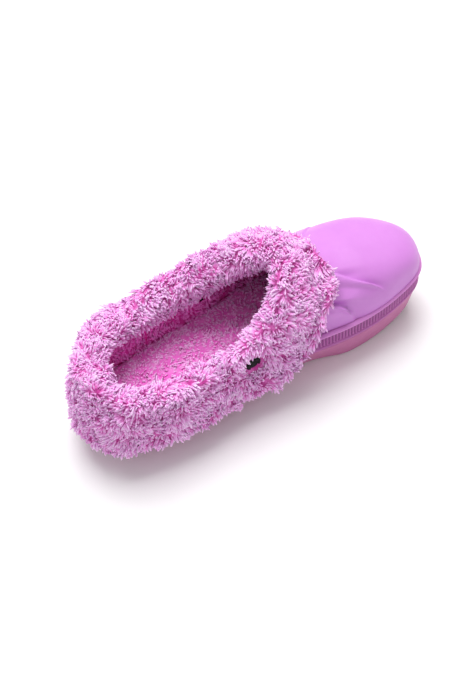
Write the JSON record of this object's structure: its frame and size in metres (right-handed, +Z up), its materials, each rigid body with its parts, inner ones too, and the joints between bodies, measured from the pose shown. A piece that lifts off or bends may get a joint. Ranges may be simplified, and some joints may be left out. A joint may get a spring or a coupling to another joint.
{
  "type": "rubber garden clog",
  "caption": "Left closed-toe garden clog: moulded upper on a ribbed band and sole, with a fleece liner, a deep turned-over cuff and two push snaps.",
  "frame": {"origin": "middle of the sole, on the ground plane", "axes": "+X points out of the toe, +Y to the outer side of the left foot, +Z up"},
  "size_m": [0.2906, 0.1172, 0.1045],
  "materials": {
    "sole_rubber": "satin",
    "band_rubber": "satin",
    "upper_rubber": "satin",
    "board_foam": "matte",
    "footbed_fleece": "matte",
    "lining_fleece": "matte",
    "toe_fleece": "matte",
    "cuff_fleece": "matte",
    "snap_plastic": "gloss"
  },
  "bodies": {
    "clog": {"outsole": "sole_rubber", "foxing_band": "band_rubber", "upper_shell": "upper_rubber", "insole_board": "board_foam", "fleece_footbed": "footbed_fleece", "lining_outer_side": "lining_fleece", "lining_inner_side": "lining_fleece", "toe_lining": "toe_fleece", "cuff_outer_half": "cuff_fleece", "cuff_inner_half": "cuff_fleece", "snap_post_outer": "snap_plastic", "snap_post_inner": "snap_plastic"},
    "outer_cap": {"snap_cap_outer": "snap_plastic"},
    "inner_cap": {"snap_cap_inner": "snap_plastic"}
  },
  "joints": [
    {"name": "outer_snap_pull", "type": "slide", "parent": "clog", "child": "outer_cap", "axis": [0, 1, 0], "range_m": [0, 0.006]},
    {"name": "inner_snap_pull", "type": "slide", "parent": "clog", "child": "inner_cap", "axis": [0, -1, 0], "range_m": [0, 0.006]}
  ]
}
